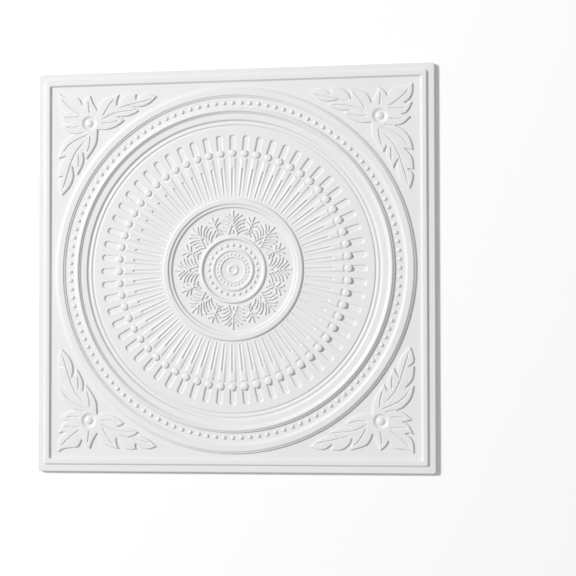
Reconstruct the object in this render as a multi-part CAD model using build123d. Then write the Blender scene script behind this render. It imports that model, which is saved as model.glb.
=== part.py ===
from build123d import *
import os
from math import radians, tan

# Lay-in ceiling tile formed from one sheet. Millimetres, lying face up, floor at Z = 0.

# square outline
side = 603.0                 # for a 24 inch ceiling grid
corner_radius = 4.0
sheet = 1.0                  # wall of the formed sheet
rim_height = 8.0             # turned-back edge, floor to flange face
edge_bevel = 1.2             # softened front edge of the flange

# square border moulding
flange_width = 9.9
border_slope = 2.4
border_land = 5.7
border_height = 3.5
border_corner = 2.5

# round mouldings, runs measured inward, heights above the field
rosette_gap = 6.5            # field left between border and rosette
rail_slope = 5.2
rail_height = 4.8
rail_land = 7.2
rail_back = 5.8
channel_width = 11.6         # bead channel
channel_height = 1.6
roll_front = 7.6
roll_height = 6.6
roll_back = 4.4
ledge_width = 7.0
ledge_height = 3.3
cove_slope = 4.2
cove_height = 0.5
reed_front = 3.4
reed_height = 1.6
reed_back = 3.2
groove_height = 0.3
band_lip = 2.8
band_height = 1.5

# medallion, radius at its foot
medallion_radius = 108.0
medallion_slope = 3.8
medallion_height = 4.5
medallion_land = 5.0
step_slope = 2.6
step_height = 2.3
step_land = 2.6
bowl_slope = 3.0
bowl_height = -0.3

# hub in the middle of the medallion, radii at the foot of each member
hub_radius = 51.8
hub_slope = 3.4
hub_height = 2.6
hub_land = 1.2
hub_back = 5.8
hub_channel_height = -0.8
collar_radius = 33.2
collar_slope = 3.0
collar_height = 1.8
collar_land = 1.4
collar_back = 2.6
knurl_height = 0.0
dish_radius = 20.0
dish_slope = 2.4
dish_height = 0.5
dish_depth = 2.5
boss_radius = 8.8
boss_slope = 3.0
boss_rise = 1.6

# radial ornament round the medallion
flute_count = 60
flute_margin = 10.2          # flute end to the reed moulding
flute_length = 21.0
flute_width = 9.8
flute_depth = 2.4
flute_draft = 32.0
ball_radius = 6.0
ball_crown = 3.4             # radius of the ball's flattened top
ball_height = 2.6
ball_sides = 6
ball_gap = 2.0               # ball to tongue
flute_gap = 0.5              # ball to flute
tongue_start = 1.0           # medallion foot to tongue
tongue_root_width = 8.0
tongue_end_width = 11.0
tongue_end_height = 1.5
tongue_draft = 45.0
slot_inset = 14.0            # tongue end to slot end
slot_width = 3.2
slot_draft = 35.0

# leaf spray in each corner of the field
spray_field = 281.1          # half width of the field that the spray is drawn for
spray_centre = (221.5, 224.5)
leaf_height = 2.0
leaf_draft = 25.0
rosebud_radius = 11.5        # dished ring at the spray's root
rosebud_floor_radius = 8.5
rosebud_depth = 1.6
rosebud_sides = 8
button_radius = 5.5
button_crown = 3.0
button_height = 1.5
button_sides = 6

# tips, notches and shoulders of the leaves, measured from the spray's centre towards the corner's two edges
upright_leaf = [
    (-13.0, -9.5),
    (-11.0, -29.5),
    (4.5, -54.5),
    (9.5, -44.5),
    (11.5, -64.5),
    (19.0, -78.5),
    (26.5, -64.5),
    (26.0, -85.5),
    (43.0, -109.0),
    (48.0, -86.5),
    (41.0, -79.5),
    (49.0, -80.5),
    (45.0, -58.5),
    (36.5, -49.0),
    (48.5, -52.0),
    (41.5, -30.5),
    (22.5, -15.0),
]
corner_leaves = [
    (36.5, -10.5),
    (45.5, -2.0),
    (32.0, 1.5),
    (40.5, 5.5),
    (47.5, 20.5),
    (36.0, 18.5),
    (47.0, 29.5),
    (48.0, 48.0),
    (19.5, 41.0),
    (11.0, 29.5),
    (-1.5, 43.5),
    (-13.0, 19.5),
]
level_leaf = [
    (-20.5, 34.0),
    (-47.0, 43.5),
    (-43.0, 26.0),
    (-54.5, 40.5),
    (-74.0, 43.0),
    (-73.0, 35.0),
    (-90.5, 42.5),
    (-105.5, 39.0),
    (-82.5, 23.5),
    (-62.0, 25.0),
    (-77.5, 17.3),
    (-60.5, 10.0),
    (-45.0, 9.0),
    (-55.0, 4.0),
    (-35.5, -7.7),
]

field = rim_height
border_foot = flange_width + 2 * border_slope + border_land
rosette_radius = side / 2 - border_foot - rosette_gap


def square(inset, corner):
    return RectangleRounded(side - 2 * inset, side - 2 * inset, corner)


def walk(radius, height, moves):
    """Points of a turned profile, from a radius and height inward by (run, height above the field)."""
    points = [(radius, field + height)]
    for run, height in moves:
        radius -= run
        points.append((radius, field + height))
    return points


def turned(face_points, back_points):
    """The turned sheet between the points of its face and those of its back."""
    outline = Polyline(*face_points, *reversed(back_points), close=True)
    return revolve(make_face(Plane.XZ * outline), Axis.Z)


def lowered(points):
    return [(radius, height - sheet) for radius, height in points]


def around(shape, count):
    return [Rot(0, 0, turn * 360 / count) * shape for turn in range(count)]


def level(points, height):
    return [(x, y, height) for x, y in points]


def frustum(foot, top):
    """Solid with flat sides between two outlines of as many points."""
    turns = range(-1, len(foot) - 1)
    sides = [Face(Wire.make_polygon([foot[k], foot[k + 1], top[k + 1], top[k]])) for k in turns]
    ends = [Face(Wire.make_polygon(foot)), Face(Wire.make_polygon(top))]
    return Solid(Shell(sides + ends))


# flange, rim and border
border_draft = Vector(border_slope, border_height).get_angle(Vector(0, 1))
block = extrude(square(0, corner_radius), rim_height)
block = chamfer(block.faces().sort_by(Axis.Z)[-1].edges(), edge_bevel)
hollow = extrude(square(sheet, corner_radius - sheet), rim_height - sheet)
moulding = Pos(0, 0, field) * extrude(square(flange_width, border_corner), border_height, taper=border_draft)
well = Pos(0, 0, field) * extrude(square(border_foot, border_corner), border_height, taper=-border_draft)
moulding -= well
hole = Pos(0, 0, rim_height / 2) * Cylinder(rosette_radius, rim_height * 2)
frame = block - hollow + moulding - Pos(0, 0, -sheet) * moulding - hole

# turned mouldings, medallion and hub
outer = walk(
    rosette_radius,
    0,
    [
        (rail_slope, rail_height),
        (rail_land, rail_height),
        (rail_back, channel_height),
        (channel_width, channel_height),
        (roll_front, roll_height),
        (roll_back, ledge_height),
        (ledge_width, ledge_height),
        (cove_slope, cove_height),
        (reed_front, reed_height),
        (reed_back, groove_height),
        (band_lip, band_height),
    ],
)
inner = walk(
    medallion_radius,
    band_height,
    [
        (medallion_slope, medallion_height),
        (medallion_land, medallion_height),
        (step_slope, step_height),
        (step_land, step_height),
        (bowl_slope, bowl_height),
    ],
)
hub = walk(
    hub_radius,
    bowl_height,
    [(hub_slope, hub_height), (hub_land, hub_height), (hub_back, hub_channel_height)],
)
collar = walk(
    collar_radius,
    hub_channel_height,
    [(collar_slope, collar_height), (collar_land, collar_height), (collar_back, knurl_height)],
)
dish = walk(dish_radius, knurl_height, [(dish_slope, dish_height)])
dish_floor = dish_height - dish_depth
boss_top = dish_floor + boss_rise
boss = walk(boss_radius, dish_floor, [(boss_slope, boss_top)])
hub_floor = field + dish_floor

# the back leaves out the smallest members
outer_underside = outer[:5] + outer[6:7] + outer[8:9] + outer[-1:]
inner_underside = inner[:3] + inner[5:]
hub_underside = hub[:3] + [(hub[3][0], hub_floor), (0, hub_floor)]
rosette_face = outer + inner + hub + collar + dish + boss + [(0, field + boss_top)]
rosette = turned(rosette_face, lowered(outer_underside + inner_underside + hub_underside))

# one flute, ball and tongue, then the ring of them
band = field + band_height
band_outer = outer[-1][0]
flute_end = band_outer - flute_margin
flute_start = flute_end - flute_length
ball_centre = flute_start - flute_gap - ball_radius
tongue_foot = medallion_radius + tongue_start
tongue_end = ball_centre - ball_radius - ball_gap
slot_end = tongue_end - slot_inset


def flute_outline(inset):
    """Plan of a flute with straight sides, drawn in by inset."""
    half = flute_width / 2 - inset
    ends = (flute_start + inset, flute_end - inset)
    return [(ends[0], -half), (ends[1], -half), (ends[1], half), (ends[0], half)]


def rounded_outline(centre, radius, sides):
    """Corners of a regular outline about a centre, its sides touching the radius."""
    corners = RegularPolygon(radius, sides, major_radius=False).vertices()
    return [(centre[0] + corner.X, centre[1] + corner.Y) for corner in corners]


def slot_outline(rise):
    """Plan of a tongue's slot, wider by its side slope for the rise above its floor."""
    spread = rise * tan(radians(slot_draft))
    half = slot_width / 2 + spread
    return [(tongue_foot, -half), (slot_end + spread, -half), (slot_end + spread, half), (tongue_foot, half)]


flute_inset = flute_depth * tan(radians(flute_draft))
flute_floor = band - flute_depth
recess = frustum(level(flute_outline(0), band), level(flute_outline(flute_inset), flute_floor))
ball_place = (ball_centre, 0)
ball_foot = level(rounded_outline(ball_place, ball_radius, ball_sides), band)
ball_top = level(rounded_outline(ball_place, ball_crown, ball_sides), band + ball_height)
ball = frustum(ball_foot, ball_top)

# a tongue is a wedge that rises outward from the medallion's foot
tongue_slope = tan(radians(tongue_draft))
tongue_half = tongue_end_width / 2
tongue_crown = tongue_half - tongue_end_height * tongue_slope
tongue_crest = tongue_end - tongue_end_height * tongue_slope
root_half = tongue_root_width / 2
root_left = (tongue_foot, root_half, band)
root_right = (tongue_foot, -root_half, band)
end_left = (tongue_end, tongue_half, band)
end_right = (tongue_end, -tongue_half, band)
crest_left = (tongue_crest, tongue_crown, band + tongue_end_height)
crest_right = (tongue_crest, -tongue_crown, band + tongue_end_height)
tongue_faces = [
    (root_left, root_right, end_right, end_left),
    (root_left, root_right, crest_right, crest_left),
    (root_left, end_left, crest_left),
    (root_right, end_right, crest_right),
    (end_left, end_right, crest_right, crest_left),
]
tongue = Solid(Shell([Face(Wire.make_polygon(corners)) for corners in tongue_faces]))
slot_top = level(slot_outline(tongue_end_height), band + tongue_end_height)
slot_cut = frustum(level(slot_outline(0), band), slot_top)


def drawn_in(points, inset):
    """An outline that runs anticlockwise, with every side moved inward by inset."""
    moved = []
    for k in range(len(points)):
        corner = Vector(points[k])
        before = (corner - Vector(points[k - 1])).normalized()
        after = (Vector(points[(k + 1) % len(points)]) - corner).normalized()
        shift = Vector(-before.Y - after.Y, before.X + after.X) * inset / (1 + before.dot(after))
        moved.append((corner.X + shift.X, corner.Y + shift.Y))
    return moved


# one corner spray, then its mirror images
spray_scale = (side / 2 - border_foot) / spray_field
spray_place = [spray_scale * offset for offset in spray_centre]
leaf_top = field + leaf_height
leaf_outline = [
    (spray_place[0] + spray_scale * across, spray_place[1] + spray_scale * along)
    for across, along in upright_leaf + corner_leaves + level_leaf
]
leaf_crown = drawn_in(leaf_outline, leaf_height * tan(radians(leaf_draft)))
rosebud_floor = leaf_top - rosebud_depth


def bud_outline(radius, sides, height):
    return level(rounded_outline(spray_place, spray_scale * radius, sides), height)


spray = frustum(level(leaf_outline, field), level(leaf_crown, leaf_top))
spray -= frustum(
    bud_outline(rosebud_floor_radius, rosebud_sides, rosebud_floor),
    bud_outline(rosebud_radius, rosebud_sides, leaf_top),
)
spray += frustum(
    bud_outline(button_radius, button_sides, rosebud_floor),
    bud_outline(button_crown, button_sides, rosebud_floor + button_height),
)
spray_pair = [spray, mirror(spray, about=Plane.YZ)]
sprays = spray_pair + [mirror(half, about=Plane.XZ) for half in spray_pair]

tile = frame + rosette
tile = tile.fuse(*around(Pos(0, 0, -sheet) * recess, flute_count))
tile = tile.cut(*around(recess, flute_count))
tile = tile.fuse(*around(ball, flute_count), *around(tongue, flute_count))
tile = tile.cut(*around(slot_cut, flute_count))
tile = tile.fuse(*sprays)

os.makedirs("parts", exist_ok=True)
export_step(tile, "parts/ceiling_tile.step")
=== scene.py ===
import bpy
import bmesh
import numpy as np
from mathutils import Matrix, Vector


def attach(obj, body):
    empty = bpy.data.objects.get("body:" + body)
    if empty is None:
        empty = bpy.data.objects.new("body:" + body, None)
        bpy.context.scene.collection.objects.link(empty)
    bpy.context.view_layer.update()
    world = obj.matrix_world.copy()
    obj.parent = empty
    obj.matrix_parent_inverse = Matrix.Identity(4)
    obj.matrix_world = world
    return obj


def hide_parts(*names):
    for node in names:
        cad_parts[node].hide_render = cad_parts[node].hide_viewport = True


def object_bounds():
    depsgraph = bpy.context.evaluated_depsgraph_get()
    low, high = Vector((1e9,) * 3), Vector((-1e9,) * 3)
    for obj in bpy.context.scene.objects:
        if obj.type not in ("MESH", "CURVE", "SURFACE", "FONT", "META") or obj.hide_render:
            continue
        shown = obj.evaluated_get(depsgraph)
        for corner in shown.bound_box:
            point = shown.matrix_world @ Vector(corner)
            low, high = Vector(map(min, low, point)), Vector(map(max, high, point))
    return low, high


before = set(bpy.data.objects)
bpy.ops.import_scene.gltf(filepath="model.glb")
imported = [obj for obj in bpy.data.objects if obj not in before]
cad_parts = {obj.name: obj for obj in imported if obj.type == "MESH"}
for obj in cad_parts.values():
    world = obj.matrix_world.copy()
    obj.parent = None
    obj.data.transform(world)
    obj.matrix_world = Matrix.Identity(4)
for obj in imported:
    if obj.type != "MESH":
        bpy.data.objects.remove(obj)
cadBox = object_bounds()
mm = 0.001                      # the tile is drawn in millimetres and turned into metres in makePiece
rowStart = np.radians(-45)      # every row of the sheet starts on the lower right diagonal

# square outline and border of the formed sheet
sheetLook = {
    "side": round((cadBox[1][0] - cadBox[0][0]) / mm, 1),
    "corner": 4.0,
    "thickness": 1.0,
    "flangeTop": 8.0,
    "flangeWidth": 10.3,
    "edgeRound": 1.2,
    "edgeSteps": 5,
    "rimRound": 0.2,
    "borderSlope": 1.6,
    "borderLand": 6.5,
    "borderHeight": 3.5,
    "borderCorner": 2.5,
    "cornerChange": 6.0,        # rows further in than this take the border's corner
    "creaseFlat": (0.3, 0.03),  # distance and height of the row on the flat before a crease
    "creaseSlope": (0.1, 0.35),     # the same on the slope after it
    "creaseGuard": 0.8,         # guard rows keep a flat flat: by a crease, the edge, the border's foot
    "edgeGuard": 0.6,
    "fieldGuard": 1.2,
    "fieldSteps": 3,
    "backEase": (0.3, 0.4),     # how far the back stands off at the border's foot and top
    "quarter": 105,             # columns along one side of the square
    "arc": 5,                   # columns on half a corner
}
field = sheetLook["flangeTop"]
columns = 4 * sheetLook["quarter"]

# turned mouldings: radius and height above the field, from the rosette's foot to the middle
ringLook = {
    "outer": [
        (274.2, 0.0), (273.4, 2.8), (271.4, 3.2), (270.9, 4.6), (269.3, 4.8), (261.4, 4.8), (260.8, 3.5),
        (258.8, 3.1), (258.1, 1.6), (243.1, 1.6), (242.4, 4.4), (240.5, 4.9), (240.0, 6.2), (238.6, 6.5),
        (236.9, 6.4), (236.3, 4.9), (234.5, 4.6), (233.8, 3.3), (224.8, 3.2), (222.8, 0.5), (220.6, 0.5),
        (219.0, 1.6), (217.4, 1.6), (216.2, 0.2), (214.0, 0.2), (213.2, 1.5),
    ],
    "medallion": [
        (107.0, 1.5), (105.7, 4.2), (104.4, 4.5), (98.6, 4.5), (97.4, 2.2), (95.8, 2.5), (93.8, 2.4),
        (92.8, 0.6), (91.8, -0.3),
    ],
    "hub": [
        (50.8, -0.3), (49.7, 2.2), (48.6, 2.5), (46.6, 2.5), (44.6, -0.3), (43.4, -0.6), (32.4, -0.6),
        (31.4, 1.5), (30.2, 1.7), (28.4, 1.7), (26.9, 0.1), (20.4, 0.1), (19.6, 0.9), (18.6, 0.9),
        (17.7, -0.7), (8.9, -1.2), (7.9, -0.1), (6.8, 0.3), (5.7, 0.3), (4.6, -0.7), (3.6, -1.3),
        (0.0, -1.4),
    ],
    # the back follows only the larger members
    "back": [
        (273.6, 0.0), (269.8, 4.5), (262.4, 4.5), (258.0, 1.5), (243.4, 1.5), (239.6, 5.8), (237.2, 5.8),
        (234.0, 3.2), (225.4, 3.1), (222.6, 0.2), (213.4, 0.0), (211.0, 1.3), (206.0, 1.3), (204.0, -0.9),
        (168.0, -0.9), (166.0, 1.3), (112.0, 0.9), (107.0, 1.3), (105.0, 4.2), (99.4, 4.2), (97.4, 2.0),
        (94.4, 2.0), (92.0, -0.5), (51.2, -0.5), (49.4, 1.3), (47.6, 1.3), (43.6, -1.7), (42.0, -2.0),
    ],
    "softness": 0.14,           # how far the forming rounds a crease
    "beside": 0.2,              # rows on both sides of every crease
    "beyond": 0.7,              # one more where the run from it is longer than longRun
    "longRun": 1.85,
    "widest": 8.0,              # widest and closest spacing of rows
    "closest": 0.12,
    "innermost": 0.6,
    "fewColumns": 21.0,         # inside this radius a row has a quarter of the columns
    "bowlRows": (53.0, 88.0),
    "bandRim": 208.0,
    "fieldRing": 277.0,
}

# radial ornament between the mouldings and the medallion
bandLook = {
    "count": 60,
    "height": ringLook["medallion"][0][1],
    "fluteEnd": 202.0,
    "fluteHalf": 4.9,
    "fluteWall": 0.9,
    "fluteDepth": 2.1,
    "ballCentre": 174.5,
    "ballGap": 7.7,             # radius of the cup that a tongue ends in
    "tongueStart": 108.9,
    "tongueMiddle": 130.0,
    "tongueEnd": 166.5,
    "tongueReach": 170.5,       # the horns of the cup stop here
    "tongueLead": 0.6,          # a tongue begins this far before its start
    "tongueRootHalf": 4.0,
    "tongueEndHalf": 5.5,
    "tongueRise": (0.2, 1.35),
    "tongueWall": 0.9,
    "slotEnd": 152.6,
    "slotHalf": 1.75,
    "slotWall": 0.65,
    "slotDepth": 0.85,
    "slotLead": 4.0,            # a slot deepens over this length
    # mesh rows, as distances from the radius they are named for
    "rowsAtStart": (-0.7, 0.0, 0.6, 1.3, 2.3, 4.1),
    "rowsAtSlotEnd": (-3.6, -2.2, -1.4, -0.7, 0.1, 1.4),
    "rowsAtTongueEnd": (-3.5, -2.1, -1.2, -0.4, 0.4, 1.2, 2.1, 3.1, 4.2),
    "rowsAtBall": (-2.0, 0.5),
    "rowsAtFluteEnd": (-7.5, -5.4, -4.2, -3.2, -2.4, -1.6, -0.9, -0.2, 0.6, 2.5),
    # mesh columns: share of a flute's floor, and distances from the edges of flute, slot and tongue
    "floorShare": 0.55,
    "fluteGuard": 0.6,
    "ridgeGuard": 2.1,
    "slotGuard": 0.05,
    "tongueGuard": 0.5,
}


def smoothStep(t):
    # 0 below 0, 1 above 1, and the cubic 3t^2 - 2t^3 between
    t = np.clip(t, 0.0, 1.0)
    return t * t * (3 - 2 * t)


def ringHeight(r):
    # straight runs between the moulding points, averaged by a bell curve so that the creases are round
    points = np.array(ringLook["outer"] + ringLook["medallion"] + ringLook["hub"])[::-1]
    offsets = np.linspace(-2, 2, 9)
    weights = np.exp(-offsets**2 / 2)
    near = np.abs(np.asarray(r)[..., None] + offsets * ringLook["softness"])
    return np.interp(near, points[:, 0], points[:, 1]) @ (weights / weights.sum())


def tongueShare(along):
    # how far along its tongue a place is, from 0 at the root to 1 at the end
    b = bandLook
    return np.clip((along - b["tongueStart"]) / (b["tongueEnd"] - b["tongueStart"]), 0, 1)


def tongueHalf(share):
    # half width of a tongue, growing evenly from its root to its end
    return bandLook["tongueRootHalf"] + share * (bandLook["tongueEndHalf"] - bandLook["tongueRootHalf"])


def bandHeight(r, lateral):
    # flutes sink and tongues rise by a smooth step of the distance inside their outline;
    # a tongue's height grows outward, a cup round the ball ends it and a slot splits it
    b = bandLook
    along = np.sqrt(np.maximum(r**2 - lateral**2, 0))
    fluteCore = b["fluteEnd"] - b["fluteHalf"]
    past = np.maximum(along - fluteCore, 0) + np.maximum(b["ballCentre"] - along, 0)
    flute = b["fluteDepth"] * smoothStep((b["fluteHalf"] - np.hypot(past, lateral)) / b["fluteWall"])
    share = tongueShare(along)
    rise = b["tongueRise"][0] + share * (b["tongueRise"][1] - b["tongueRise"][0])
    cup = np.hypot(np.minimum(along - b["ballCentre"], 0), lateral) - b["ballGap"]
    ends = np.minimum(b["tongueReach"] - along, along - b["tongueStart"] + b["tongueLead"])
    inside = np.minimum(np.minimum(tongueHalf(share) - np.abs(lateral), cup), ends)
    tongue = rise * smoothStep(inside / b["tongueWall"])
    slotCore = b["slotEnd"] - b["slotHalf"]
    slotFar = np.hypot(np.maximum(along - slotCore, 0), lateral)
    slot = (b["slotDepth"] + rise) * smoothStep((b["slotHalf"] - slotFar) / b["slotWall"])
    slot *= smoothStep((along - b["tongueStart"]) / b["slotLead"])
    return tongue - flute - slot


def squareRow(inset, corner):
    # points round a square with rounded corners, the same share of columns on every side and corner arc
    n, arc = sheetLook["quarter"], sheetLook["arc"]
    half = sheetLook["side"] / 2 - inset
    centre = half - corner
    turn = rowStart + np.radians(45) * np.arange(arc) / arc
    lower = np.c_[centre + corner * np.cos(turn), -centre + corner * np.sin(turn)]
    straight = np.linspace(-centre, centre, n - 2 * arc + 1)
    middle = np.c_[np.full(len(straight), half), straight]
    upper = (lower * [1, -1])[::-1][:-1]
    quarter = np.vstack([lower, middle, upper])
    angles = np.radians([0, 90, 180, 270])
    turns = [np.array([[np.cos(a), -np.sin(a)], [np.sin(a), np.cos(a)]]) for a in angles]
    return np.vstack([quarter @ turn.T for turn in turns])


def roundRow(radius, count):
    # points round a circle, starting where the square rows do
    angle = rowStart + 2 * np.pi * np.arange(count) / count
    return radius * np.c_[np.cos(angle), np.sin(angle)]


def withHeight(row, height):
    # flat points with one height for all
    return np.c_[row, np.broadcast_to(height, len(row))]


def ringRows(radii, count):
    # circles of the face, each at the height of the moulding there
    return [withHeight(roundRow(r, count), field + ringHeight(r)) for r in radii]


def linkRows(rows):
    # quads between rows of equal length, three triangles a step where one row has twice the points,
    # and a fan to a single point
    starts = np.cumsum([0] + [len(row) for row in rows])
    faces = []
    for k in range(len(rows) - 1):
        a, b = len(rows[k]), len(rows[k + 1])
        one, two = starts[k], starts[k + 1]
        i = np.arange(max(a, b) if min(a, b) == 1 else min(a, b))
        j = (i + 1) % len(i)
        if a == b:
            faces += np.c_[one + i, two + i, two + j, one + j].tolist()
        elif a == 1:
            faces += np.c_[np.full(b, one), two + i, two + j].tolist()
        elif b == 1:
            faces += np.c_[one + i, np.full(a, two), one + j].tolist()
        elif b == 2 * a:
            near, half, far = two + 2 * i, two + 2 * i + 1, two + 2 * j
            faces += np.c_[one + i, near, half].tolist()
            faces += np.c_[one + i, half, one + j].tolist()
            faces += np.c_[one + j, half, far].tolist()
        else:
            near, half, far = one + 2 * i, one + 2 * i + 1, one + 2 * j
            faces += np.c_[near, two + i, half].tolist()
            faces += np.c_[half, two + i, two + j].tolist()
            faces += np.c_[half, two + j, far].tolist()
    return np.vstack(rows), faces


def makePiece(name, points, faces, material, closeBelow=False):
    # smooth mesh of points times a thousandth; an open surface is closed by one face across its edge
    mesh = bpy.data.meshes.new(name)
    mesh.from_pydata((points * mm).tolist(), [], faces)
    if closeBelow:
        work = bmesh.new()
        work.from_mesh(mesh)
        bmesh.ops.holes_fill(work, edges=[e for e in work.edges if e.is_boundary], sides=0)
        bmesh.ops.recalc_face_normals(work, faces=work.faces)
        work.to_mesh(mesh)
        work.free()
    mesh.polygons.foreach_set("use_smooth", np.ones(len(mesh.polygons), bool))
    mesh.update()
    piece = bpy.data.objects.new(name, mesh)
    bpy.context.scene.collection.objects.link(piece)
    mesh.materials.append(material)
    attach(piece, "root")
    print(name, len(mesh.vertices), "points", len(mesh.loops) - 2 * len(mesh.polygons), "triangles")
    return piece


pvcLook = {
    "mottleScale": 14,
    "mottleDetail": 3,
    "tone": (0.745, 0.775),
    "roughness": (0.42, 0.52),
    "grainScale": 900,
    "grainDetail": 2,
    "grainStrength": 0.35,
    "grainDepth": 0.0003,
    "specular": 0.4,
}


def whitePvc():
    # satin white plastic: faint mottling in tone and roughness, and a very fine orange-peel grain
    material = bpy.data.materials.new("whitePvc")
    material.use_nodes = True
    nodes, links = material.node_tree.nodes, material.node_tree.links
    shader = nodes["Principled BSDF"]
    place = nodes.new("ShaderNodeTexCoord")
    mottle = nodes.new("ShaderNodeTexNoise")
    mottle.inputs["Scale"].default_value = pvcLook["mottleScale"]
    mottle.inputs["Detail"].default_value = pvcLook["mottleDetail"]
    tone = nodes.new("ShaderNodeValToRGB")
    for stop, grey in zip(tone.color_ramp.elements, pvcLook["tone"]):
        stop.color = (grey, grey, grey, 1)
    gloss = nodes.new("ShaderNodeMapRange")
    gloss.inputs["To Min"].default_value = pvcLook["roughness"][0]
    gloss.inputs["To Max"].default_value = pvcLook["roughness"][1]
    grain = nodes.new("ShaderNodeTexNoise")
    grain.inputs["Scale"].default_value = pvcLook["grainScale"]
    grain.inputs["Detail"].default_value = pvcLook["grainDetail"]
    bump = nodes.new("ShaderNodeBump")
    bump.inputs["Strength"].default_value = pvcLook["grainStrength"]
    bump.inputs["Distance"].default_value = pvcLook["grainDepth"]
    links.new(place.outputs["Object"], mottle.inputs["Vector"])
    links.new(place.outputs["Object"], grain.inputs["Vector"])
    links.new(mottle.outputs["Fac"], tone.inputs["Fac"])
    links.new(mottle.outputs["Fac"], gloss.inputs["Value"])
    links.new(tone.outputs["Color"], shader.inputs["Base Color"])
    links.new(gloss.outputs["Result"], shader.inputs["Roughness"])
    links.new(grain.outputs["Fac"], bump.inputs["Height"])
    links.new(bump.outputs["Normal"], shader.inputs["Normal"])
    shader.inputs["Specular IOR Level"].default_value = pvcLook["specular"]
    print("material", material.name, len(nodes), "nodes")
    return material


pvc = whitePvc()


def creaseRadii(points):
    # radii just beside each crease of a profile, one more where the run from it is long, wide gaps divided
    look = ringLook
    radii = np.array([r for r, _ in points])[::-1]
    longRun = np.diff(radii) > look["longRun"]
    outward = np.r_[radii[:-1][longRun], radii[-1]] + look["beyond"]
    inward = np.r_[radii[1:][longRun], radii[0]] - look["beyond"]
    near = np.r_[radii - look["beside"], radii + look["beside"], outward, inward]
    near = np.unique(near[near >= look["innermost"]])
    counts = np.ceil(np.diff(near) / look["widest"]).astype(int)
    gaps = [np.linspace(a, b, n + 1)[:-1] for a, b, n in zip(near[:-1], near[1:], counts)]
    radii = np.r_[np.concatenate(gaps), near[-1]]
    return radii[np.r_[True, np.diff(radii) > look["closest"]]]


def bandRadii():
    # radii of the rows through the band: each distance added to the radius it is named for
    b = bandLook
    groups = [
        ("tongueStart", "rowsAtStart"),
        ("slotEnd", "rowsAtSlotEnd"),
        ("tongueEnd", "rowsAtTongueEnd"),
        ("ballCentre", "rowsAtBall"),
        ("fluteEnd", "rowsAtFluteEnd"),
    ]
    radii = [b[place] + np.array(b[rows]) for place, rows in groups]
    return np.sort(np.r_[np.concatenate(radii), b["tongueMiddle"]])


def bandRows():
    # fine rows through the flutes and tongues; in each pitch the columns gather at the edges a row crosses
    b = bandLook
    fine = 2 * columns
    perPitch = fine // b["count"]
    step = 2 * np.pi / fine
    angle = rowStart + 2 * np.pi * np.arange(fine) / fine
    place = np.rint((angle % (2 * np.pi)) / step).astype(int) % perPitch
    side = np.where(place <= perPitch // 2, place, place - perPitch)
    pitchAngle = angle - side * step
    floorEdge, rim = b["fluteHalf"] - b["fluteWall"], b["fluteHalf"]
    fluteColumns = [0, b["floorShare"] * floorEdge, floorEdge - b["fluteGuard"], floorEdge,
                    rim, rim + b["fluteGuard"], rim + b["ridgeGuard"]]
    slotColumns = [0, b["slotHalf"] - b["slotWall"] - b["slotGuard"],
                   b["slotHalf"] + b["slotGuard"], b["slotHalf"] + b["slotWall"]]
    rows = []
    for r in bandRadii():
        half = r * np.pi / b["count"]
        if b["tongueStart"] <= r < b["tongueReach"]:
            edge = tongueHalf(tongueShare(r))
            across = slotColumns + [edge - b["tongueWall"], edge, edge + b["tongueGuard"]]
        elif b["ballCentre"] < r < b["fluteEnd"] + b["fluteWall"]:
            across = fluteColumns
        else:
            across = np.arange(perPitch // 2) * 2 * half / perPitch
        lateral = np.sign(side) * np.append(across, half)[np.abs(side)]
        theta = pitchAngle + np.arcsin(np.clip(lateral / r, -1, 1))
        height = field + b["height"] + bandHeight(np.full(fine, r), lateral)
        rows.append(np.c_[r * np.cos(theta), r * np.sin(theta), height])
    return rows


def softCrease(inset, height, flatSide, slopeSide):
    # two rows that round a crease: one on the flat just before it, one on the slope just after it
    flat, slope = sheetLook["creaseFlat"], sheetLook["creaseSlope"]
    return [(inset + flatSide * flat[0], height + slopeSide * flat[1]),
            (inset - flatSide * slope[0], height + slopeSide * slope[1])]


def borderRows(outside, land, landIn, foot):
    # square rows as (inset, height): over the border and flange, round the edge, up inside the rim and back
    s = sheetLook
    thick, edge, rim, guard = s["thickness"], s["edgeRound"], s["rimRound"], s["creaseGuard"]
    top, low = field + s["borderHeight"], field - thick
    path = softCrease(foot, field, 1, 1) + softCrease(landIn, top, -1, -1)[::-1]
    path += [(landIn - guard, top), (land + guard, top)]
    path += softCrease(land, top, 1, -1) + softCrease(outside, field, -1, 1)[::-1]
    path += [(outside - guard, field), (edge + s["edgeGuard"], field)]
    turn = np.radians(np.linspace(0, 90, s["edgeSteps"]))
    path += [(edge - edge * np.sin(a), field - edge + edge * np.cos(a)) for a in turn]
    path += [(0, rim), (rim, 0), (thick - rim, 0), (thick, rim), (thick, low)]
    atFoot, atTop = s["backEase"]
    path += [(outside + atFoot, low), (land + atTop, top - thick)]
    path += [(landIn - atTop, top - thick), (foot - atFoot, low)]
    corners = [s["corner"] if inset < s["cornerChange"] else s["borderCorner"] for inset, _ in path]
    return [withHeight(squareRow(inset, corner), h) for (inset, h), corner in zip(path, corners)]


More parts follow.
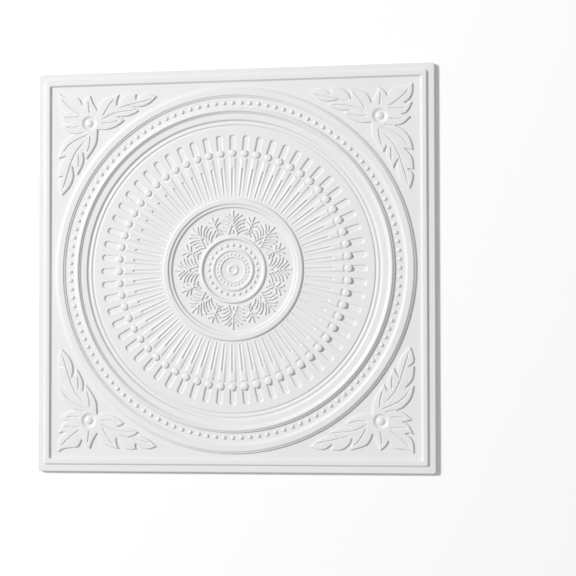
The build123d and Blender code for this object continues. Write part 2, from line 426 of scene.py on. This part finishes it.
def tileSheet():
    # rows from the middle of the face outward, over the edge, and back to the middle along the back
    s = sheetLook
    rows = [np.array([[0, 0, field + ringHeight(0.0)]])]
    hub = creaseRadii(ringLook["hub"])
    few = hub < ringLook["fewColumns"]
    rows += ringRows(hub[few], columns // 4) + ringRows(hub[~few], columns // 2)
    rows += ringRows(np.r_[ringLook["bowlRows"], creaseRadii(ringLook["medallion"])], columns)
    rows += bandRows()
    rows += ringRows(np.r_[ringLook["bandRim"], creaseRadii(ringLook["outer"])], columns)
    outside = s["flangeWidth"]
    land = outside + s["borderSlope"]
    landIn = land + s["borderLand"]
    foot = landIn + s["borderSlope"]
    inner = squareRow(foot + s["fieldGuard"], s["borderCorner"])
    ring = roundRow(ringLook["fieldRing"], columns)
    rows += [withHeight(ring + (inner - ring) * t, field) for t in np.linspace(0, 1, s["fieldSteps"])]
    rows += borderRows(outside, land, landIn, foot)
    low = field - s["thickness"]
    rows += [withHeight(roundRow(r, columns // 2), low + h) for r, h in ringLook["back"]]
    rows += [np.array([[0, 0, low + ringLook["back"][-1][1]]])]
    return makePiece("tileSheet", *linkRows(rows), pvc)


sheet = tileSheet()
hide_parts("ceiling_tile")


def domeRing(name, look):
    # equal domes round a circle; a dome's height falls as H sqrt(1 - q^flat), where q is the distance from
    # its axis over its radius, and a straight skirt sinks it into the sheet
    a = 2 * np.pi * np.arange(look["around"]) / look["around"]
    circle = look["radius"] * np.c_[np.cos(a), np.sin(a)]
    shares = np.sin(np.linspace(0, np.pi / 2, look["rings"] + 1)[1:])
    shell = [np.array([[0, 0, look["height"]]])]
    shell += [withHeight(q * circle, look["height"] * np.sqrt(1 - q**look["flat"])) for q in shares]
    shell += [withHeight(circle, -look["sink"]), np.array([[0, 0, -look["sink"]]])]
    points, faces = linkRows(shell)
    angle = np.radians(look["turn"]) + 2 * np.pi * np.arange(look["count"]) / look["count"]
    places = withHeight(look["ring"] * np.c_[np.cos(angle), np.sin(angle)], field + look["ground"])
    allPoints = (places[:, None, :] + points[None]).reshape(-1, 3)
    allFaces = [[v + k * len(points) for v in face] for k in range(look["count"]) for face in faces]
    return makePiece(name, allPoints, allFaces, pvc)


# small domes: ground is the height they stand on, above the field; around, rings and flat shape one dome
beadLook = {"radius": 3.4, "height": 2.2, "ring": 250.0, "count": 120, "turn": 0.0,
            "ground": 1.6, "sink": 0.5, "around": 10, "rings": 3, "flat": 2.0}
hubBeadLook = {"radius": 2.9, "height": 2.1, "ring": 37.0, "count": 24, "turn": 0.0,
               "ground": -0.8, "sink": 0.4, "around": 10, "rings": 3, "flat": 2.0}
knurlLook = {"radius": 1.9, "height": 1.2, "ring": 23.2, "count": 24, "turn": 7.5,
             "ground": 0.0, "sink": 0.4, "around": 10, "rings": 3, "flat": 2.0}
ballLook = {"radius": 5.7, "height": 2.3, "ring": bandLook["ballCentre"], "count": bandLook["count"],
            "turn": 0.0, "ground": bandLook["height"], "sink": 2.6, "around": 16, "rings": 6, "flat": 4.0}
domeRing("beadRow", beadLook)
domeRing("hubBeads", hubBeadLook)
domeRing("knurl", knurlLook)
domeRing("balls", ballLook)

# leaf spray of one corner, traced in the quadrant where both axes are positive;
# each run of the outline is smooth and meets the next in a point
leafLook = {
    "height": 2.4,
    "wall": 0.9,
    "crown": 0.3,
    "crownReach": 4.0,
    "foot": 0.7,                # width of the strip round the outline that sinks into the sheet
    "sink": 0.5,
    "pitch": 0.5,
    "span": (112, 276),         # range of the grid on both axes
    "veinDepth": 1.8,
    "veinHalf": 1.3,
    "veinFade": 0.12,           # share of a vein's length over which its ends fade
    "veinEnd": 0.35,            # share of its depth at the ends
    "boss": (221.2, 224.8),
    "dishRadius": 12.0,
    "dishSlope": 4.5,
    "dishDepth": 1.9,
    "buttonRadius": 5.6,
    "buttonHeight": 2.0,
    "outline": [
        [(208.5, 215), (209, 204), (210.5, 195), (216, 184), (226, 170)],
        [(226, 170), (228.3, 175), (231, 180.5)],
        [(231, 180.5), (230.3, 169), (233.5, 158.5), (240.5, 146)],
        [(240.5, 146), (243.5, 153), (248, 160)],
        [(248, 160), (246.2, 149), (247.5, 139), (253, 128), (264.5, 115.5)],
        [(264.5, 115.5), (268.3, 125), (270, 134), (268.5, 140), (262.5, 145)],
        [(262.5, 145), (270.5, 143.8)],
        [(270.5, 143.8), (269.7, 155), (267, 165), (258, 175.5)],
        [(258, 175.5), (270, 172.3)],
        [(270, 172.3), (267.8, 184), (262.5, 195.5), (253, 205), (244, 209.5)],
        [(244, 209.5), (252, 210.5), (259, 215), (267, 222.5)],
        [(267, 222.5), (260, 225), (253.5, 226)],
        [(253.5, 226), (259.5, 228), (265, 235.5), (269, 245)],
        [(269, 245), (263, 242.5), (257.5, 243)],
        [(257.5, 243), (264.5, 248), (268.7, 256), (269.7, 265), (269.5, 272.5)],
        [(269.5, 272.5), (261, 267.8), (250, 266.2), (241, 265.5), (236.5, 262), (232.5, 254)],
        [(232.5, 254), (228, 261.5), (220, 268)],
        [(220, 268), (215.5, 256), (208.5, 244)],
        [(208.5, 244), (206, 251.5), (200, 259.5), (190, 264), (174.5, 268)],
        [(174.5, 268), (178, 259), (178.5, 250.5)],
        [(178.5, 250.5), (174, 259.5), (165, 266.5), (156, 268.3), (147.5, 267.5)],
        [(147.5, 267.5), (149, 263.5), (148.5, 259.5)],
        [(148.5, 259.5), (139, 266), (128, 267.3), (116, 263.4)],
        [(116, 263.4), (128.5, 252.5), (140.5, 248), (150, 248), (159.5, 249.8)],
        [(159.5, 249.8), (151.5, 247), (144, 241.8)],
        [(144, 241.8), (154, 236.7), (164, 234), (176.5, 233.8)],
        [(176.5, 233.8), (171, 231.7), (166.5, 228.5)],
        [(166.5, 228.5), (176, 221.3), (186, 216.6), (196, 214.5), (208.5, 215)],
    ],
    "veins": [
        [(263, 124), (258.5, 138), (253.5, 154), (248, 170), (240.5, 184), (228, 198)],
        [(262.5, 181), (255, 190.5), (246, 197.5), (234, 203), (222, 208)],
        [(238.5, 159), (237.5, 168), (238, 178)],
        [(224.5, 181), (221, 191), (219.5, 206)],
        [(243, 208.5), (228.5, 211.5)],
        [(236, 220), (245, 219), (255, 220)],
        [(235, 235), (247, 234.3), (259, 234.8)],
        [(234.5, 238.5), (246, 246), (256, 254.5), (263.5, 262.5)],
        [(221, 240), (221.8, 249), (222.8, 258.5)],
        [(147, 243.5), (158, 242), (170, 241), (182, 239), (193, 234.5), (201.5, 230)],
        [(124, 259), (136, 256), (150, 253), (163, 250), (175, 246.5)],
        [(175, 228), (184, 225.7), (193, 224.6), (201.5, 224.8)],
        [(182, 261), (188.5, 254), (194.5, 245), (200, 235)],
    ],
}


def smoothPath(points, steps=8):
    # cubic through the points whose slope at each is half the chord between its neighbours
    p = np.asarray(points, float)
    p = np.vstack([2 * p[0] - p[1], p, 2 * p[-1] - p[-2]])
    t = np.linspace(0, 1, steps, endpoint=False)[:, None]
    a, b, c, d = p[:-3, None], p[1:-2, None], p[2:-1, None], p[3:, None]
    square, cube = 2 * a - 5 * b + 4 * c - d, 3 * b - a - 3 * c + d
    curve = 0.5 * (2 * b + (c - a) * t + square * t**2 + cube * t**3)
    return np.vstack([curve.reshape(-1, 2), p[-2]])


def pathDistance(path, x, y):
    # distance to the nearest segment of a path, and how far along the path that point is, from 0 to 1
    steps = np.hypot(*np.diff(path, axis=0).T)
    start = np.r_[0, np.cumsum(steps)]
    best, where = np.full(x.shape, np.inf), np.zeros(x.shape)
    for k in range(len(steps)):
        ax, ay = path[k]
        dx, dy = path[k + 1] - path[k]
        t = np.clip(((x - ax) * dx + (y - ay) * dy) / steps[k]**2, 0, 1)
        far = np.hypot(x - ax - t * dx, y - ay - t * dy)
        closer = far < best
        best = np.where(closer, far, best)
        where = np.where(closer, (start[k] + t * steps[k]) / start[-1], where)
    return best, where


def insideOf(path, x, y):
    # a point is inside when a line from it to one side crosses the outline an odd number of times
    inside = np.zeros(x.shape, bool)
    for (ax, ay), (bx, by) in zip(path[:-1], path[1:]):
        if ay != by:
            inside ^= ((ay > y) != (by > y)) & (x < (bx - ax) * (y - ay) / (by - ay) + ax)
    return inside


def leafRelief():
    # plate raised inside the outline, its edge a smooth step; veins are cut by their distance,
    # and the boss is a dish with a round button
    leaf = leafLook
    line = np.arange(*leaf["span"], leaf["pitch"])
    x, y = np.meshgrid(line, line, indexing="ij")
    outline = np.vstack([smoothPath(run)[:-1] for run in leaf["outline"]] + [leaf["outline"][0][:1]])
    far, _ = pathDistance(outline, x, y)
    depth = np.where(insideOf(outline, x, y), far, -far)
    z = leaf["height"] * smoothStep(depth / leaf["wall"])
    z += leaf["crown"] * (1 - np.exp(-np.maximum(depth, 0) / leaf["crownReach"]))
    z -= leaf["sink"] * smoothStep(-depth / leaf["foot"])
    for vein in leaf["veins"]:
        gap, along = pathDistance(smoothPath(vein), x, y)
        fade = smoothStep(along / leaf["veinFade"]) * smoothStep((1 - along) / leaf["veinFade"])
        cut = leaf["veinDepth"] * (leaf["veinEnd"] + (1 - leaf["veinEnd"]) * fade)
        z -= np.where(depth > 0, cut * smoothStep(1 - gap / leaf["veinHalf"]), 0)
    rho = np.hypot(x - leaf["boss"][0], y - leaf["boss"][1])
    z -= leaf["dishDepth"] * smoothStep((leaf["dishRadius"] - rho) / leaf["dishSlope"])
    z += leaf["buttonHeight"] * np.sqrt(np.clip(1 - (rho / leaf["buttonRadius"])**2, 0, 1))
    return x, y, z, depth > -leaf["foot"]


def leafSprays():
    # the cells of the grid that touch the spray, mirrored across both axes into the four corners
    x, y, z, near = leafRelief()
    cells = near[:-1, :-1] | near[1:, :-1] | near[1:, 1:] | near[:-1, 1:]
    index = np.arange(x.size).reshape(x.shape)
    quads = np.stack([index[:-1, :-1], index[1:, :-1], index[1:, 1:], index[:-1, 1:]], -1)[cells]
    used, quads = np.unique(quads, return_inverse=True)
    quads = quads.reshape(-1, 4)
    points = np.c_[x.ravel(), y.ravel(), field + z.ravel()][used]
    corners = (("UpperRight", 1, 1), ("UpperLeft", -1, 1), ("LowerLeft", -1, -1), ("LowerRight", 1, -1))
    for name, sx, sy in corners:
        faces = quads if sx * sy > 0 else quads[:, ::-1]
        makePiece("leafSpray" + name, points * [sx, sy, 1], faces.tolist(), pvc, closeBelow=True)


leafSprays()

# palmettes in the bowl of the medallion: ridges drawn as points (sideways, radius) and a half width,
# mirrored to both sides of a radial axis
palmetteLook = {
    "count": 8,
    "inner": 52.6,
    "outer": 90.4,
    "columns": 880,
    "rows": 76,
    "rise": 2.0,
    "swell": (0.95, 0.25),      # share of the half width at a ridge's start, and what its length adds
    "least": 0.02,              # lower ridges than this are left in the floor
    "sink": 0.35,
    "pathSteps": 5,
    "large": [
        ([(0, 66), (0, 78), (0, 88.3)], 1.2),
        ([(0.5, 69), (2.4, 66.5), (4.2, 61), (6.3, 53.6)], 1.1),
        ([(0.6, 74.5), (3, 78.6), (7.4, 83.6)], 1.1),
        ([(0.6, 69.8), (4, 73.4), (8.6, 78.7), (12.8, 81.2)], 1.2),
        ([(2.0, 65), (5, 68.6), (10.5, 73.4), (17.2, 75.4)], 1.25),
        ([(3.2, 61.2), (6.5, 65), (10.6, 68.4), (16.2, 70.4)], 1.2),
        ([(4.6, 57.4), (8, 60.7), (12, 63.4), (16.4, 64.8)], 1.15),
        ([(7.0, 54.4), (10, 57), (15.8, 59.2)], 1.1),
        ([(0, 55.2), (0, 58.8)], 1.4),
    ],
    "small": [
        ([(0, 57), (0.2, 66), (0, 75), (0, 84.5)], 1.05),
        ([(0.5, 72), (3, 76.4), (7.8, 80.4)], 1.15),
        ([(0.5, 68.5), (4, 71.6), (8.6, 73.2)], 1.15),
        ([(0.5, 65.6), (3.4, 64.4), (5.4, 61.4)], 1.0),
        ([(1.4, 61), (2.6, 58), (5.2, 56.4)], 1.0),
    ],
}


def palmetteRelief(theta, r):
    # highest ridge of the two palmettes nearest to a point; across its path a ridge is a half ellipse
    look = palmetteLook
    halfPitch = np.pi / look["count"]
    height = np.zeros(theta.shape)
    for kind, turn in (("large", 0.0), ("small", halfPitch)):
        local = (theta - turn + halfPitch) % (2 * halfPitch) - halfPitch
        side, up = np.abs(r * np.sin(local)), r * np.cos(local)
        for points, half in look[kind]:
            gap, along = pathDistance(smoothPath(points, look["pathSteps"]), side, up)
            width = half * (look["swell"][0] + look["swell"][1] * along)
            height = np.maximum(height, look["rise"] * np.sqrt(np.clip(1 - (gap / width)**2, 0, 1)))
    return height


def palmettes():
    # polar grid over one pitch of the bowl, repeated round it and sunk below its floor between the ridges
    look = palmetteLook
    angle = 2 * np.pi * np.arange(look["columns"]) / look["columns"]
    radii = np.linspace(look["inner"], look["outer"], look["rows"])
    theta, r = np.meshgrid(angle[:look["columns"] // look["count"]], radii)
    raised = np.tile(palmetteRelief(theta, r), look["count"])
    ground = field + ringLook["hub"][0][1]
    z = np.where(raised > look["least"], ground + raised, ground - look["sink"])
    rows = [np.c_[q * np.cos(angle), q * np.sin(angle), h] for q, h in zip(radii, z)]
    points, faces = linkRows(rows)
    last = len(points) - look["columns"]
    i = np.arange(look["columns"])
    j = (i + 1) % look["columns"]
    faces += np.c_[last + i, i, j, last + j].tolist()
    return makePiece("palmettes", points, faces, pvc)


palmettes()

# stage, in metres from here on
floorLook = {"half": 6.0, "tone": 0.96, "roughness": 0.9}
floorMaterial = bpy.data.materials.new("paleFloor")
floorMaterial.use_nodes = True
floorShader = floorMaterial.node_tree.nodes["Principled BSDF"]
floorShader.inputs["Base Color"].default_value = [floorLook["tone"]] * 3 + [1]
floorShader.inputs["Roughness"].default_value = floorLook["roughness"]
floorMesh = bpy.data.meshes.new("floor")
floorSigns = np.array([(-1, -1, 0), (1, -1, 0), (1, 1, 0), (-1, 1, 0)])
floorMesh.from_pydata((floorLook["half"] * floorSigns).tolist(), [], [(0, 1, 2, 3)])
floor = bpy.data.objects.new("floor", floorMesh)
floorMesh.materials.append(floorMaterial)
bpy.context.scene.collection.objects.link(floor)
print("floor", 2 * floorLook["half"], "m wide")


def placeMatrix(turn, place):
    # 4 x 4 matrix from a turn, whose columns are the object's own axes, and a place
    return Matrix(np.r_[np.c_[turn, place], [[0, 0, 0, 1]]].tolist())


# one soft lamp aimed at the middle of the tile, and an even sky
lightLook = {"key": 880.0, "keyPlace": (-6.30, 2.94, 7.19), "keySize": 1.8, "sky": 0.41}
world = bpy.data.worlds.new("studio")
world.use_nodes = True
world.node_tree.nodes["Background"].inputs["Color"].default_value = (1, 1, 1, 1)
world.node_tree.nodes["Background"].inputs["Strength"].default_value = lightLook["sky"]
bpy.context.scene.world = world
key = bpy.data.lights.new("key", "AREA")
key.energy, key.size = lightLook["key"], lightLook["keySize"]
keyObject = bpy.data.objects.new("key", key)
keyPlace = np.array(lightLook["keyPlace"])
backward = keyPlace / np.linalg.norm(keyPlace)
right = np.cross([0, 0, 1], backward)
right /= np.linalg.norm(right)
keyObject.matrix_world = placeMatrix(np.c_[right, np.cross(backward, right), backward], keyPlace)
bpy.context.scene.collection.objects.link(keyObject)
print("light", key.energy, "W and sky", lightLook["sky"])

# camera: tilt and offset are the pose of the tile seen from the lens, in degrees and millimetres,
# turned round below into the camera's own place
cameraLook = {
    "sensor": 36.0,
    "focalPixels": 1700.0,
    "imagePixels": 576,
    "shiftPixels": 40.0,
    "tilt": (-1.8134, -9.5965, 0.0944),
    "offset": (-82.13, 86.70, -2534.08),
}


def axisTurn(axis, degrees):
    # turn about one axis, as an array of 3 x 3
    return np.array(Matrix.Rotation(np.radians(degrees), 3, axis))


tilt = cameraLook["tilt"]
pose = axisTurn("Z", tilt[2]) @ axisTurn("X", tilt[0]) @ axisTurn("Y", tilt[1])
eye = -pose.T @ np.array(cameraLook["offset"]) + [0, 0, field]
camera = bpy.data.cameras.new("camera")
camera.sensor_width = cameraLook["sensor"]
camera.lens = cameraLook["sensor"] * cameraLook["focalPixels"] / cameraLook["imagePixels"]
camera.shift_y = cameraLook["shiftPixels"] / cameraLook["imagePixels"]
cameraObject = bpy.data.objects.new("camera", camera)
cameraObject.matrix_world = placeMatrix(pose.T, eye * mm)
bpy.context.scene.collection.objects.link(cameraObject)
bpy.context.scene.camera = cameraObject
bpy.context.scene.view_settings.view_transform = "Standard"
print("camera", round(camera.lens, 2), "mm lens")

bpy.context.view_layer.update()
